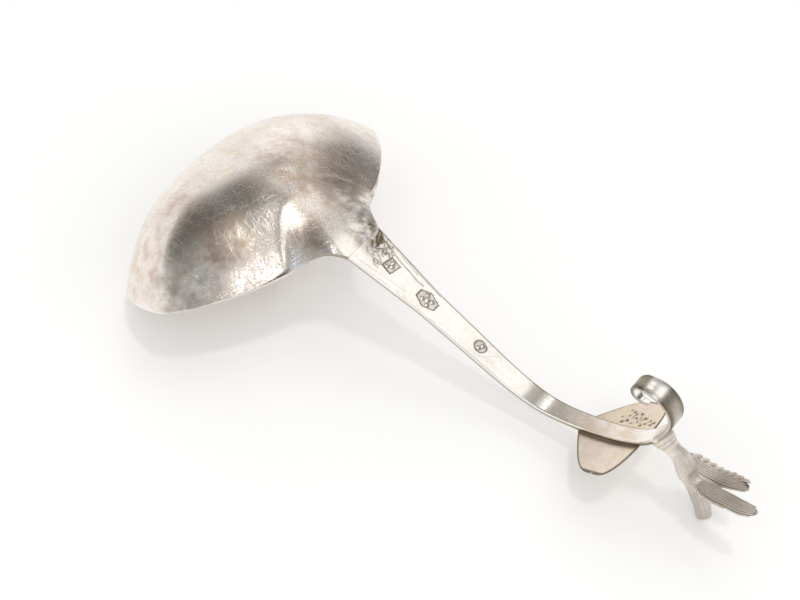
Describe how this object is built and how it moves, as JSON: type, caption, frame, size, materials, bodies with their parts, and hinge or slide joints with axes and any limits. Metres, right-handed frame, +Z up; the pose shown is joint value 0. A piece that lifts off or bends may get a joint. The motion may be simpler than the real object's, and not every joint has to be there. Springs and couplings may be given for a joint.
{
  "type": "cream spoon",
  "caption": "Silver cream spoon lying face down: broad round bowl, tapering handle rolled into a scroll, small saddle plate and a winged cast end ornament.",
  "frame": {"origin": "middle of the footprint's bounding box, on the table the spoon lies on", "axes": "+X from the bowl along the handle to the cast ornament, +Y across the spoon, +Z up from the table; the bowl lies face down"},
  "size_m": [0.1624, 0.0774, 0.0337],
  "materials": {
    "bowl": "worn hand-finished silver, fine criss-cross scratches",
    "handle_strip": "bright silver with fine lengthwise scratches",
    "saddle_plate": "satin silver with a warm tarnish",
    "neck_collar": "cast silver, lightly tarnished",
    "ornament_body": "matt cast silver",
    "far_wing": "matt cast silver, chased feather lines",
    "near_wing": "matt cast silver, chased feather lines"
  },
  "bodies": {
    "root": {"bowl": "bowl", "handle_strip": "handle_strip", "saddle_plate": "saddle_plate", "neck_collar": "neck_collar", "ornament_body": "ornament_body", "far_wing": "far_wing", "near_wing": "near_wing"}
  },
  "joints": []
}
